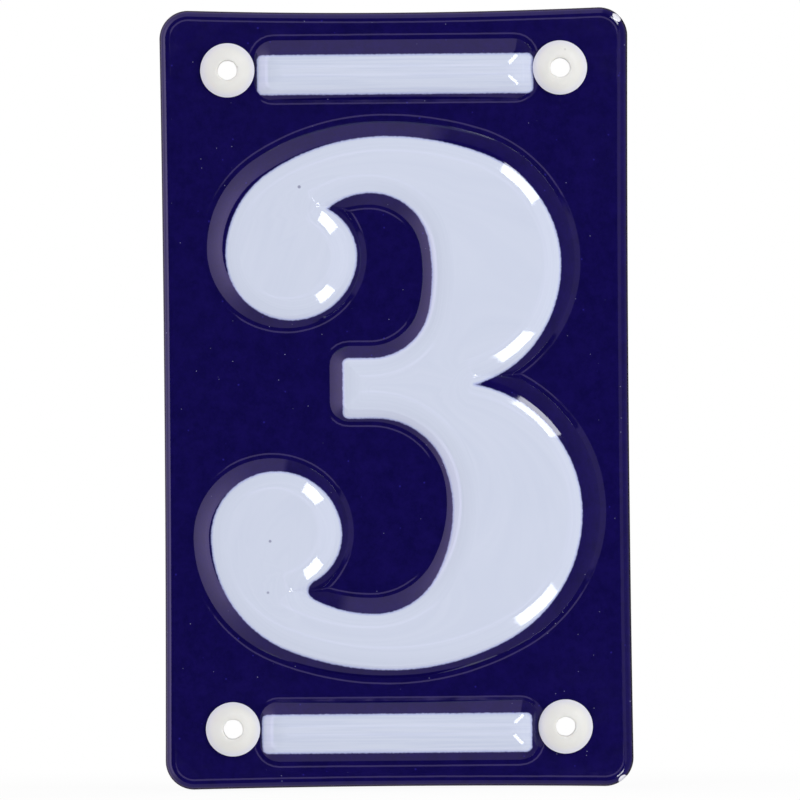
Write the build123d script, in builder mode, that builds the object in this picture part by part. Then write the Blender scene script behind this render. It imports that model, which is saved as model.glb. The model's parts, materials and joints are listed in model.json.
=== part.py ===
"""House number plaque: an enamelled sheet-steel plate with a pressed numeral 3 between two
pressed bars, hung from four nylon screw bushes. Millimetres; +X right, +Z up, front faces -Y,
and the wall is the plane y = 0."""
import os
from math import cos, hypot, radians, sin, sqrt, tan

from build123d import *

# plate: overall size at the wall, edges that bow inwards, turned-back rim
plate_width = 90.0
plate_height = 150.0
side_bow = 0.4
end_bow = 0.9
corner_radius = 5.5
sheet = 1.0
rim_depth = 4.0
rim_draft = 12.0
rim_bend_inside = 1.2

# pressed relief: height above the ground face, slope of its walls, easing of its edges
numeral_relief = 2.6
bar_relief = 2.3
wall_angle = 40.0
shoulder_easing = 0.75
foot_easing = 0.85

# nylon screw bushes
screw_inset_x = 13.1
screw_inset_z = 11.8
bush_diameter = 10.4
bush_bore = 3.7
bush_shank = 6.0
bush_clearance = 0.2
bush_edge = 0.8
bush_crown = 2.0
bush_lip = 0.3

# bars above and below the numeral, reaching from bush to bush
bar_height = 7.2
bar_corner = 0.3
bar_end_gap = 0.1
top_bar_inset = 11.9
bottom_bar_inset = 11.4

# clear margins between the plate's edges and the numeral's raised top
side_margin = 9.0
end_margin = 23.8

# numeral: ends of its outline, balls and bowls; each quarter of a bowl is a flat arc closed by
# a tighter one
top_x = -2.2
top_z = 50.5
bottom_x = -1.7
bottom_z = -51.2
upper_ball_radius = 11.9
upper_ball_x = -20.9
upper_ball_z = 28.1
lower_ball_radius = 11.8
lower_ball_x = -24.2
lower_ball_z = -25.8
upper_bowl_right = 31.4
upper_bowl_z = 26.1
lower_bowl_right = 35.2
lower_bowl_z = -21.7
upper_left_flat = 42.2
upper_right_flat = 55.9
lower_right_flat = 47.9
lower_left_flat = 55.1
upper_waist_radius = 23.7
waist_overlap = 0.3

# numeral: stroke widths, the two eyes and the stub between them
bowl_stroke = 24.5
end_stroke = 10.0
upper_eye_x = -5.3
upper_eye_z = 24.2
upper_eye_flat = 30.0
upper_eye_left_radius = 13.2
lower_eye_x = -5.0
lower_eye_z = -21.0
lower_eye_flat = 26.1
lower_eye_left_radius = 25.0
lower_eye_roof_x = -2.5
lower_eye_roof_flat = 24.1
stub_left = -9.2
stub_top = 7.9
stub_bottom = -2.8
stub_corner = 0.3

# places and proportions that follow from the sizes above
half_width = plate_width / 2
half_height = plate_height / 2
screw_x = half_width - screw_inset_x
screw_z = half_height - screw_inset_z
slope = radians(wall_angle)
shoulder_reach = shoulder_easing + sheet * tan(slope / 4)
bar_foot_reach = bar_relief / tan(slope) + foot_easing
bar_length = 2 * (screw_x - bush_diameter / 2 - bar_end_gap - bar_foot_reach)
numeral_scale = min(
    (half_width - side_margin) / (lower_ball_radius - lower_ball_x),
    (half_height - end_margin) / -bottom_z,
)


def quadrant(side, crown, flat_radius, from_side):
    """A quarter of an oval as two tangent arcs between its upright and its level tangent point."""
    across = abs(side[0] - crown[0])
    rise = abs(side[1] - crown[1])
    right = 1 if side[0] > crown[0] else -1
    up = 1 if crown[1] > side[1] else -1
    short = min(across, rise)
    long = max(across, rise)
    tight_radius = (2 * short * flat_radius - short**2 - long**2) / (2 * (flat_radius - long))
    side_radius = tight_radius if across >= rise else flat_radius
    crown_radius = flat_radius if across >= rise else tight_radius
    side_centre = (side[0] - right * side_radius, side[1])
    crown_centre = (crown[0], crown[1] - up * crown_radius)
    span = hypot(side_centre[0] - crown_centre[0], side_centre[1] - crown_centre[1])
    reach = (side_radius if side_radius < crown_radius else -side_radius) / span
    joint = (
        side_centre[0] + reach * (side_centre[0] - crown_centre[0]),
        side_centre[1] + reach * (side_centre[1] - crown_centre[1]),
    )
    if from_side:
        first = TangentArc(side, joint, tangent=(0, up))
        TangentArc(joint, crown, tangent=first % 1)
    else:
        first = TangentArc(crown, joint, tangent=(right, 0))
        TangentArc(joint, side, tangent=first % 1)


def crossing(centre, radius, other_centre, other_radius, hand):
    """Where two circles cross; hand picks the crossing left (+1) or right (-1) of the centre line."""
    dx = other_centre[0] - centre[0]
    dz = other_centre[1] - centre[1]
    span = hypot(dx, dz)
    along = (radius**2 - other_radius**2 + span**2) / (2 * span)
    across = hand * sqrt(radius**2 - along**2)
    return (centre[0] + (along * dx - across * dz) / span, centre[1] + (along * dz + across * dx) / span)


def numeral_outline(grow):
    """The numeral's outline before scaling, every edge moved out by grow."""
    inner_line = shoulder_reach / numeral_scale
    upper_ball = (upper_ball_x, upper_ball_z)
    lower_ball = (lower_ball_x, lower_ball_z)
    upper_left = (upper_ball_x - upper_ball_radius - grow, upper_ball_z)
    lower_left = (lower_ball_x - lower_ball_radius - grow, lower_ball_z)
    top = (top_x, top_z + grow)
    bottom = (bottom_x, bottom_z - grow)
    upper_right = (upper_bowl_right + grow, upper_bowl_z)
    lower_right = (lower_bowl_right + grow, lower_bowl_z)

    # notch on the right, where the bowls' arcs still overlap along the inner line of the shoulder
    upper_waist = (upper_bowl_right - upper_waist_radius, upper_bowl_z)
    spare = upper_waist_radius - waist_overlap - 2 * inner_line
    offset = upper_waist[0] - lower_bowl_right
    drop = upper_bowl_z - lower_bowl_z
    lower_waist_radius = (drop**2 + offset**2 - spare**2) / (2 * (spare - offset))
    lower_waist = (lower_bowl_right - lower_waist_radius, lower_bowl_z)
    notch = crossing(upper_waist, upper_waist_radius + grow, lower_waist, lower_waist_radius + grow, 1)

    # notches where each ball meets the inside of its bowl
    upper_eye_crown = (upper_eye_x, top_z - end_stroke - grow)
    upper_eye_left = (upper_eye_x, top_z - end_stroke - upper_eye_left_radius)
    upper_notch = crossing(
        upper_ball, upper_ball_radius + grow, upper_eye_left, upper_eye_left_radius - grow, 1
    )
    lower_eye_crown = (lower_eye_x, bottom_z + end_stroke + grow)
    lower_eye_left = (lower_eye_x, bottom_z + end_stroke + lower_eye_left_radius)
    lower_notch = crossing(
        lower_ball, lower_ball_radius + grow, lower_eye_left, lower_eye_left_radius - grow, -1
    )

    # outer edge, clockwise from the upper ball
    quadrant(upper_left, top, upper_left_flat + grow, True)
    quadrant(upper_right, top, upper_right_flat + grow, False)
    TangentArc(upper_right, notch, tangent=(0, -1))
    TangentArc(lower_right, notch, tangent=(0, 1))
    quadrant(lower_right, bottom, lower_right_flat + grow, True)
    quadrant(lower_left, bottom, lower_left_flat + grow, False)
    TangentArc(lower_left, lower_notch, tangent=(0, 1))

    # inner edge, back from the lower ball to the upper one
    corner = stub_corner + inner_line + grow
    left = stub_left - grow
    low = stub_bottom - grow
    high = stub_top + grow
    lower_eye_side = (lower_bowl_right - bowl_stroke - grow, lower_eye_z)
    lower_eye_roof = (lower_eye_roof_x, low)
    upper_eye_side = (upper_bowl_right - bowl_stroke - grow, upper_eye_z)
    upper_eye_floor = (upper_eye_x, high)
    TangentArc(lower_eye_crown, lower_notch, tangent=(-1, 0))
    quadrant(lower_eye_side, lower_eye_crown, lower_eye_flat - grow, False)
    quadrant(lower_eye_side, lower_eye_roof, lower_eye_roof_flat - grow, True)
    Line(lower_eye_roof, (left + corner, low))
    TangentArc((left + corner, low), (left, low + corner), tangent=(-1, 0))
    Line((left, low + corner), (left, high - corner))
    TangentArc((left, high - corner), (left + corner, high), tangent=(0, 1))
    Line((left + corner, high), upper_eye_floor)
    quadrant(upper_eye_side, upper_eye_floor, upper_eye_flat - grow, False)
    quadrant(upper_eye_side, upper_eye_crown, upper_eye_flat - grow, True)
    TangentArc(upper_eye_crown, upper_notch, tangent=(-1, 0))
    TangentArc(upper_left, upper_notch, tangent=(0, -1))


def plate_outline(inset):
    """The plate's outline: four shallow inward-bowed edges, moved in by inset."""
    x = half_width - inset
    z = half_height - inset
    ThreePointArc((-x, z), (0, z - end_bow), (x, z))
    ThreePointArc((x, z), (x - side_bow, 0), (x, -z))
    ThreePointArc((x, -z), (0, end_bow - z), (-x, -z))
    ThreePointArc((-x, -z), (side_bow - x, 0), (-x, z))


def relief_levels(relief, behind):
    """Height above the ground face and spread of the outline at each bend of a relief's wall, from
    foot to top: eased foot, straight slope, eased shoulder. A wall that lies behind the front skin
    has each bend moved back along its own bisector."""
    wall_run = relief / tan(slope)
    bends = (
        (0, wall_run + foot_easing, slope / 4),
        (foot_easing * sin(slope), wall_run - foot_easing * cos(slope), 3 * slope / 4),
        (relief - shoulder_easing * sin(slope), shoulder_easing * cos(slope), 3 * slope / 4),
        (relief, -shoulder_easing, slope / 4),
    )
    back = behind / cos(slope / 4)
    return [(rise - back * cos(tilt), spread - back * sin(tilt)) for rise, spread, tilt in bends]


def pressed_body(behind):
    """The dished blank with the numeral and the bars raised from it, as a form whose faces all
    lie a given distance behind the plate's front skin."""
    with BuildPart() as numeral:
        for rise, spread in relief_levels(numeral_relief, behind):
            with BuildSketch(Plane.XZ.offset(rim_depth + rise)):
                with BuildLine():
                    numeral_outline(spread / numeral_scale)
                make_face()
                scale(by=numeral_scale)
        loft(ruled=True)

    bars = []
    for bar_z in (half_height - top_bar_inset, bottom_bar_inset - half_height):
        with BuildPart() as bar:
            for rise, spread in relief_levels(bar_relief, behind):
                corner = bar_corner + shoulder_reach + spread
                with BuildSketch(Plane.XZ.offset(rim_depth + rise)):
                    with Locations((0, bar_z)):
                        RectangleRounded(bar_length + 2 * spread, bar_height + 2 * spread, corner)
            loft(ruled=True)
        bars.append(bar.part)

    inset = behind / cos(radians(rim_draft))
    with BuildPart() as body:
        with BuildSketch(Plane.XZ) as blank:
            with BuildLine():
                plate_outline(inset)
            make_face()
            fillet(blank.vertices(), corner_radius - inset)
        extrude(amount=rim_depth - behind, taper=rim_draft)
        fillet(body.edges().group_by(Axis.Y)[0], rim_bend_inside + sheet - behind)
        add(numeral.part)
        add(bars)
    return body.part


screws = {
    "top_left": (-screw_x, screw_z),
    "top_right": (screw_x, screw_z),
    "bottom_left": (-screw_x, -screw_z),
    "bottom_right": (screw_x, -screw_z),
}

os.makedirs("parts", exist_ok=True)

# plate: the sheet is what lies between the pressed front and the same form one thickness behind it
front_body = pressed_body(0)
hollow_body = pressed_body(sheet)
with BuildPart() as plate:
    add(front_body)
    add(hollow_body, mode=Mode.SUBTRACT)
    with BuildSketch(Plane.XZ):
        with Locations(*screws.values()):
            Circle(bush_shank / 2 + bush_clearance)
    extrude(amount=rim_depth, mode=Mode.SUBTRACT)
plate.part.label = "plate"
export_step(plate.part, "parts/plate.step")

# screw bushes: a domed head on the plate's face and a shank through it that stands on the wall
bore = bush_bore / 2
shank = bush_shank / 2
head = bush_diameter / 2
seat = -rim_depth
edge = seat - bush_edge
crown = seat - bush_crown
for corner_name, (x, z) in screws.items():
    with BuildPart() as bush:
        with BuildSketch(Plane((x, 0, z))):
            with BuildLine():
                Polyline((bore, 0), (shank, 0), (shank, seat), (head, seat), (head, edge))
                TangentArc((bore + bush_lip, crown), (head, edge), tangent=(1, 0))
                Polyline((bore + bush_lip, crown), (bore, crown + bush_lip), (bore, 0))
            make_face()
        revolve(axis=Axis((x, 0, z), (0, 1, 0)))
    bush.part.label = f"screw_bush_{corner_name}"
    export_step(bush.part, f"parts/screw_bush_{corner_name}.step")
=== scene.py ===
"""House number plaque: a pressed steel plate in dark blue enamel with a white stencilled numeral
and bars, hung from four nylon screw bushes, shown from the front on white. Sizes are in
millimetres and turned to metres where a mesh is made; +X right, +Z up, front faces -Y."""
import json
from collections import namedtuple
from math import atan2, cos, hypot, pi, radians, sin, sqrt

import bmesh
import bpy
import numpy as np
from mathutils import Matrix, Vector
from mathutils.geometry import delaunay_2d_cdt
from mathutils.kdtree import KDTree


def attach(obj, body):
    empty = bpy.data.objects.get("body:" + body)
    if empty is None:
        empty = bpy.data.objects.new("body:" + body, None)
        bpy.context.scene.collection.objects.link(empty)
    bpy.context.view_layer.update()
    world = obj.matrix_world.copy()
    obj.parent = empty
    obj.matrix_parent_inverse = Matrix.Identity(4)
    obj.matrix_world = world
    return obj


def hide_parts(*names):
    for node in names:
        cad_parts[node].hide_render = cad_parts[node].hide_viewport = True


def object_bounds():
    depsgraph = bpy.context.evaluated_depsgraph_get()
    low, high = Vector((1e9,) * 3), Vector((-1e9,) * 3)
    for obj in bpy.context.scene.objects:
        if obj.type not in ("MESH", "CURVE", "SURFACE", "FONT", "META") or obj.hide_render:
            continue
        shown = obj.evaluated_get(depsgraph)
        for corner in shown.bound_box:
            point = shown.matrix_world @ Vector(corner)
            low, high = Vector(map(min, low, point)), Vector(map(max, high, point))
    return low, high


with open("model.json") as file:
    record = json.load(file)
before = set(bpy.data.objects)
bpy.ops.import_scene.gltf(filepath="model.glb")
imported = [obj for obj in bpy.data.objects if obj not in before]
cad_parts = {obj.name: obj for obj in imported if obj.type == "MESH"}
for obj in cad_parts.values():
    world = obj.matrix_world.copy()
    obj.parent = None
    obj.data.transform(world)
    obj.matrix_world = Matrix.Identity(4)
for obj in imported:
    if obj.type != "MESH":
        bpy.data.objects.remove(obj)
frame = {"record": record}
cad_low, cad_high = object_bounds()

MM = 0.001

# plate: overall size at the wall, edges that bow inwards, turned-back rim
half_width = 45.0
half_height = 75.0
side_bow = 0.4
end_bow = 0.9
bottom_bow = 0.55
corner_radius = 5.5
sheet = 1.0
rim_depth = 4.0
rim_tilt = radians(84)
rim_bend = 1.2
rim_lip = 0.3
edge_points = 60
corner_points = 16

# rim mark, from 0 on the ground face to 1 on the cut edge: where the bend ends, where the lip starts
bend_mark = 0.5
lip_mark = 0.9

# the ground face rolls slowly into the rim's bend and up to the foot of every pressed wall
roll_tilt = radians(4.5)
roll_radius = 9.0

# pressed relief: height above the ground face, radius of its crowned top, width of the faintly tilted
# apron at its foot, spacing of the mesh along its outline
Relief = namedtuple("Relief", "height crown_radius apron step")
numeral_relief = Relief(2.6, 11.0, 0.55, 0.5)
bar_relief = Relief(2.3, 9.0, 0.5, 0.4)

# between crown and apron: shoulder, wall that steepens downwards and crease, with the tilt where one
# runs into the next
crown_tilt = radians(20)
shoulder_radius = 1.2
shoulder_tilt = radians(34)
wall_tilt = radians(42)
crease_radius = 0.03

# at the head of a notch the tops lean by this share of their tilt, and come to it this quickly
notch_ease = 0.1
notch_sharpness = 6.0

# steps down the walls in front and behind, against the plain number
front_fineness = 1.5
back_fineness = 0.75

# outlines moved inwards keep at least this corner on the stub and this flat on a bar's end; a stroke
# gets at least so many points, and a tight arc as many as one of this radius
least_corner = 0.02
least_flat = 0.01
least_points = 6
least_arc_radius = 1.5

# points this near each other are one in a loop, in a flat fill and, by the decimals kept, in the mesh
same_spot = 1e-4
fill_tolerance = 1e-5
merge_decimals = 4

# painted highlights on the rim at the right-hand corners, pale ragged patches: size, how far past that
# oval they could reach, how much of it the ragged patches take, soft edge; centre, direction along the edge
glare_length = 2.1
glare_width = 1.2
glare_reach = 1.5
glare_raggedness = 1.2
glare_edge = (-0.05, 0.15)
rim_glares = (((42.9, 72.7), (0.71, -0.71)), ((42.75, -73.3), (0.71, 0.71)))

# nylon screw bushes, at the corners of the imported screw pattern
mounts = {mount["name"]: mount for mount in frame["record"]["mounts"]}
screw_dims = mounts["wall_screws"]["dims"]
screw_x = screw_dims["spacing_x_mm"] / 2
screw_z = screw_dims["spacing_y_mm"] / 2
bush_bore = screw_dims["hole_r_mm"]
bush_head = 5.2
bush_shank = 3.0
bush_edge = 0.8
bush_crown = 2.0
bush_lip = 0.3
bore_unevenness = 0.35
bush_points = 72
dome_points = 18
lip_points = 6
bush_crease = radians(35)

# the painted sheen at the edge of a bush's head, a pale lavender stand-in for the blue enamel's reflection,
# as shares of the head's radius: where it starts, where it would be full
sheen_start = 0.73
sheen_full = 1.1

# the plate's holes for the bushes
hole_radius = 3.2
hole_edge = 0.2
hole_points = 48
screws = {
    "top_left": (-screw_x, screw_z),
    "top_right": (screw_x, screw_z),
    "bottom_left": (-screw_x, -screw_z),
    "bottom_right": (screw_x, -screw_z),
}

# bars: centre, half size and corner of the pressing and of the white laid over it
Bar = namedtuple("Bar", "centre half_length half_height corner")
pressed_bars = (Bar((0, 63.1), 24.5, 3.5, 1.4), Bar((0, -63.74), 24.5, 3.5, 1.4))
white_bars = (Bar((0.28, 62.19), 26.48, 3.81, 1.0), Bar((-0.43, -64.21), 25.87, 3.74, 1.0))

# numeral: one outline for the pressing and one for the white, which was laid on a little low,
# a little to the right and a little fat; each ball is tighter on the side of its notch
Numeral = namedtuple(
    "Numeral",
    """top bottom upper_ball upper_ball_radius lower_ball lower_ball_radius
    ball_near_turn upper_near_radius lower_near_radius lower_notch_head
    upper_right lower_right upper_left_flat upper_right_flat lower_right_flat lower_left_flat
    waist_flat_radius waist_flat_turn upper_waist_radius lower_waist_radius
    upper_eye_crown upper_eye_side upper_eye_flat upper_eye_left_radius
    lower_eye_crown lower_eye_side lower_eye_flat lower_eye_left_radius
    lower_eye_roof_x lower_eye_roof_flat stub_left stub_top stub_bottom stub_corner""",
)
pressed_numeral = Numeral(
    top=(-2.2, 50.98),
    bottom=(-1.7, -51.2),
    upper_ball=(-20.87, 28.9),
    upper_ball_radius=12.75,
    lower_ball=(-24.0, -26.4),
    lower_ball_radius=12.65,
    ball_near_turn=radians(60),
    upper_near_radius=11.0,
    lower_near_radius=11.5,
    lower_notch_head=0.0,
    upper_right=(31.9, 26.1),
    lower_right=(36.4, -21.7),
    upper_left_flat=42.2,
    upper_right_flat=60.0,
    lower_right_flat=50.0,
    lower_left_flat=55.1,
    waist_flat_radius=22.8,
    waist_flat_turn=radians(30),
    upper_waist_radius=22.8,
    lower_waist_radius=26.2,
    upper_eye_crown=(-5.0, 39.7),
    upper_eye_side=(7.7, 24.2),
    upper_eye_flat=30.0,
    upper_eye_left_radius=20.0,
    lower_eye_crown=(-5.0, -40.7),
    lower_eye_side=(12.0, -20.0),
    lower_eye_flat=26.1,
    lower_eye_left_radius=32.0,
    lower_eye_roof_x=-5.0,
    lower_eye_roof_flat=24.1,
    stub_left=-10.3,
    stub_top=7.64,
    stub_bottom=-1.9,
    stub_corner=1.23,
)
white_numeral = Numeral(
    top=(-1.77, 50.28),
    bottom=(-1.23, -52.08),
    upper_ball=(-19.9, 27.75),
    upper_ball_radius=12.6,
    lower_ball=(-23.2, -26.35),
    lower_ball_radius=12.55,
    ball_near_turn=radians(10),
    upper_near_radius=10.2,
    lower_near_radius=10.2,
    lower_notch_head=1.9,
    upper_right=(31.76, 25.52),
    lower_right=(35.45, -22.2),
    upper_left_flat=40.4,
    upper_right_flat=52.6,
    lower_right_flat=47.0,
    lower_left_flat=53.2,
    waist_flat_radius=25.14,
    waist_flat_turn=radians(36.5),
    upper_waist_radius=21.4,
    lower_waist_radius=25.2,
    upper_eye_crown=(-4.7, 39.45),
    upper_eye_side=(7.0, 23.7),
    upper_eye_flat=35.5,
    upper_eye_left_radius=12.8,
    lower_eye_crown=(-4.5, -41.3),
    lower_eye_side=(10.65, -21.25),
    lower_eye_flat=27.1,
    lower_eye_left_radius=25.0,
    lower_eye_roof_x=-4.0,
    lower_eye_roof_flat=23.0,
    stub_left=-10.3,
    stub_top=7.78,
    stub_bottom=-3.8,
    stub_corner=1.0,
)

# how the white's reach is found: spacing along its outline for distances and for inside or outside,
# distance under which it is measured square to the outline, largest reach kept
reach_step = 0.1
inside_step = 0.3
near_outline = 0.2
reach_limit = 9.0

# colours on the 0 to 255 screen scale
blue_deep = (12, 6, 67)
blue_light = (20, 11, 83)
blue_dot = (42, 34, 138)
pale_dust = (150, 150, 190)
white_low = (203, 210, 230)
white_high = (213, 219, 237)
white_brushed = (194, 202, 226)
white_thin = (176, 184, 226)
dark_fleck = (60, 55, 110)
burnt_edge = (24, 22, 28)
# painted highlight for the rim's right-hand corners
painted_glare = (232, 232, 240)
ground_coat_dark = (20, 20, 32)
ground_coat_pale = (58, 58, 76)
nylon_low = (222, 221, 217)
nylon_high = (233, 233, 229)
# painted sheen for the edge of a bush's head
nylon_sheen = (224, 224, 240)
nylon_grime = (150, 145, 150)

# the brushed look of the white starts this far above and below the middle: only the bars have it
brushed_from = 56.0
brushed_full = 57.0

# edge of the white, in millimetres of its reach: from bare to covered, from thin to thick, raggedness
white_cover = (-0.16, 0.14)
white_thickening = (0.0, 0.5)
white_raggedness = 0.24

# refractive index, unevenness of the skin, how deep red, green and blue light goes into the nylon
enamel_index = 1.54
enamel_unevenness = 0.2
nylon_index = 1.5
nylon_unevenness = 0.1
nylon_light_depth = (1.2, 1.0, 0.8)

# camera: lens and sensor, width of the picture at the plaque, its middle, the slight turn of the
# photograph
lens = 1000.0
sensor = 36.0
field = 153.6
aim_x = 0.67
aim_z = -0.31
camera_roll = radians(-0.5)

# light: matt level from all round, glossy level; floor: reach in metres, grey, whiteness to the camera
# at the plaque, distance at which it is all white; how straight behind the white backdrop starts and
# is full
ambient = 0.85
glossy_ambient = 0.02
floor_reach = 3.0
floor_grey = (0.9, 0.9, 0.9, 1)
floor_white = 0.9
floor_shadow_reach = 0.25
backdrop_edge = (0.94, 0.99)

# what the enamel mirrors stands on a wide sphere round the plaque, with its radius in metres. On its
# slopes it is a ring of light: azimuth, angle off the axis where the ring starts, glow from there to
# the bright limit, glow from the dim limit to where it fades out behind
ring_distance = 3.0
lavender = (0.69, 0.57, 1.0, 1.0)
cool_white = (0.9, 0.92, 1.0, 1.0)
ring_stops = (
    (0, 14, 0.24, 0.33),
    (30, 14, 0.22, 0.3),
    (60, 40, 0.15, 0.25),
    (78, 40, 0.2, 0.28),
    (82, 34, 0.92, 0.85),
    (90, 34, 0.97, 0.85),
    (108, 34, 1.0, 0.88),
    (125, 34, 1.4, 1.0),
    (150, 35, 2.2, 1.15),
    (180, 36, 2.6, 1.2),
    (210, 35, 2.1, 1.15),
    (225, 34, 1.1, 0.9),
    (240, 36, 0.65, 0.6),
    (270, 40, 0.62, 0.6),
    (300, 44, 0.4, 0.4),
    (330, 14, 0.22, 0.35),
    (360, 14, 0.24, 0.33),
)
ring_bright_limit = 66.0
ring_dim_limit = 86.0
ring_fade = (120.0, 170.0)
ring_fade_power = 1.2
ring_columns = 181
ring_rows = 60

# on its crowns and rolls it is strips and lamps, a little nearer: from one azimuth to another, from
# one angle off the axis to another, colour and glow
reflector_distance = 2.9
reflector_columns = 25
reflector_rows = 7
reflectors = (
    ("strip_above", 140.0, 35.0, 3.3, 7.0, lavender, 1.2),
    ("strip_below", 325.0, 220.0, 3.3, 7.0, lavender, 1.2),
    ("strip_right", 28.0, -28.0, 3.0, 14.0, lavender, 0.5),
    ("lamp_upper_right", 57.0, 33.0, 14.0, 36.0, cool_white, 11.0),
    ("lamp_lower_right", -37.0, -59.0, 14.0, 36.0, cool_white, 11.0),
)

# lamps for the matt part of the light: azimuth, angle off the axis, size in metres, watts
lamp_distance = 1.0
lamps = (("key_right", 10.0, 45.0, 0.6, 3.5),)

# an outline is a row of arcs and straights; bulge is +1 where an arc bulges out of the figure
# and -1 where it is hollow, or nearer to 0 where its slope eases off in the middle
Arc = namedtuple("Arc", "centre radius start end bulge")
Straight = namedtuple("Straight", "start end normal")
Flank = namedtuple("Flank", "centre radius bulge")


def angle_from(centre, point):
    return atan2(point[1] - centre[1], point[0] - centre[0])


def crossing(centre, radius, other_centre, other_radius, hand):
    """Where two circles cross; hand picks the crossing left (+1) or right (-1) of the centre line."""
    dx = other_centre[0] - centre[0]
    dz = other_centre[1] - centre[1]
    span = hypot(dx, dz)
    along = (radius**2 - other_radius**2 + span**2) / (2 * span)
    across = hand * sqrt(radius**2 - along**2)
    return (
        centre[0] + (along * dx - across * dz) / span,
        centre[1] + (along * dz + across * dx) / span,
    )


def quadrant(side, crown, flat_radius, from_side, bulge):
    """A quarter of an oval as two tangent arcs between its upright and its level tangent point."""
    across = abs(side[0] - crown[0])
    rise = abs(side[1] - crown[1])
    right = 1 if side[0] > crown[0] else -1
    up = 1 if crown[1] > side[1] else -1
    short = min(across, rise)
    long = max(across, rise)
    tight_radius = (2 * short * flat_radius - short**2 - long**2) / (2 * (flat_radius - long))
    side_radius = tight_radius if across >= rise else flat_radius
    crown_radius = flat_radius if across >= rise else tight_radius
    side_centre = (side[0] - right * side_radius, side[1])
    crown_centre = (crown[0], crown[1] - up * crown_radius)
    if side_radius < crown_radius:
        joint = angle_from(crown_centre, side_centre)
    else:
        joint = angle_from(side_centre, crown_centre)
    side_angle = 0 if right > 0 else pi * up
    crown_angle = up * pi / 2
    if from_side:
        return [
            Arc(side_centre, side_radius, side_angle, joint, bulge),
            Arc(crown_centre, crown_radius, joint, crown_angle, bulge),
        ]
    return [
        Arc(crown_centre, crown_radius, crown_angle, joint, bulge),
        Arc(side_centre, side_radius, joint, side_angle, bulge),
    ]


def notch_between(first, second, hand, grow, head=0.0):
    """The valley where two flanks of the outline meet: the angle at which each arc ends, and the fan
    that rounds the valley's head, with the radius head and more where the outline is moved inwards."""
    reach = max(grow, head)
    valley = crossing(
        first.centre,
        first.radius + first.bulge * reach,
        second.centre,
        second.radius + second.bulge * reach,
        hand,
    )
    first_end = angle_from(first.centre, valley)
    second_start = angle_from(second.centre, valley)
    fan_start = first_end if first.bulge < 0 else first_end + pi
    fan_end = second_start if second.bulge < 0 else second_start + pi
    turn = (fan_end - fan_start + pi) % (2 * pi) - pi
    fan = Arc(valley, reach - grow, fan_start, fan_start + turn, -notch_ease if grow < 0 else -1)
    return first_end, fan, second_start


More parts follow.
